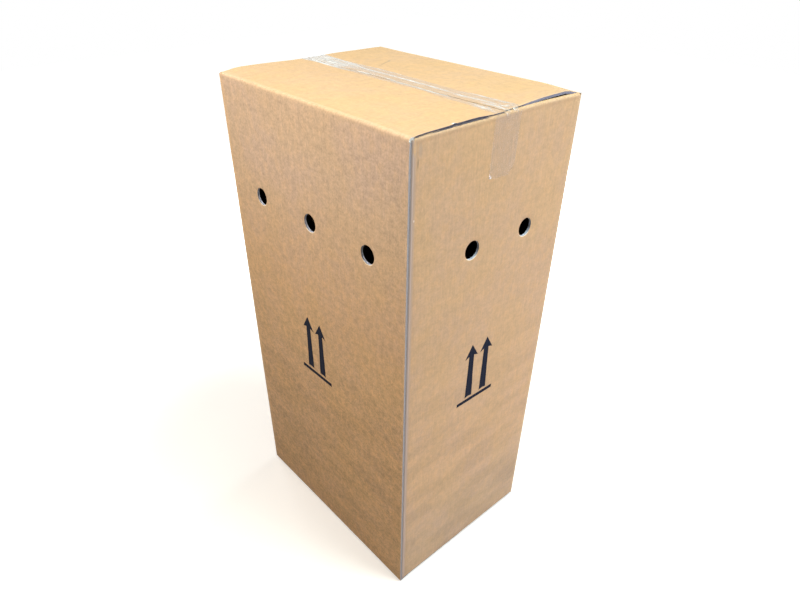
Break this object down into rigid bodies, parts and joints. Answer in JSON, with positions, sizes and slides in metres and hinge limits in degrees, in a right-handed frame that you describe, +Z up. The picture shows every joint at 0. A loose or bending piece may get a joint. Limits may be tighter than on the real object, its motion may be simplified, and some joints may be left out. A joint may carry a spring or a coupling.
{
  "type": "ventilated shipping box",
  "caption": "Tall closed shipping box of folded corrugated board with round vents in all four walls, its top flaps held by a strip of clear tape.",
  "frame": {"origin": "centre of the box's footprint, on the underside of the closed bottom flaps", "axes": "+Z up to the taped top, +X along the long walls towards the glued joint's short wall, +Y across the box from the front wall to the back wall"},
  "size_m": [0.3842, 0.29, 0.7401],
  "materials": {
    "kraft_board": "matte brown kraft liner over corrugated flutes",
    "clear_film": "clear glossy packing film, slightly wrinkled",
    "print_ink": "matte dark blue-black printing ink on kraft"
  },
  "bodies": {
    "root": {"carton": "kraft_board", "tape": "clear_film"}
  },
  "joints": []
}
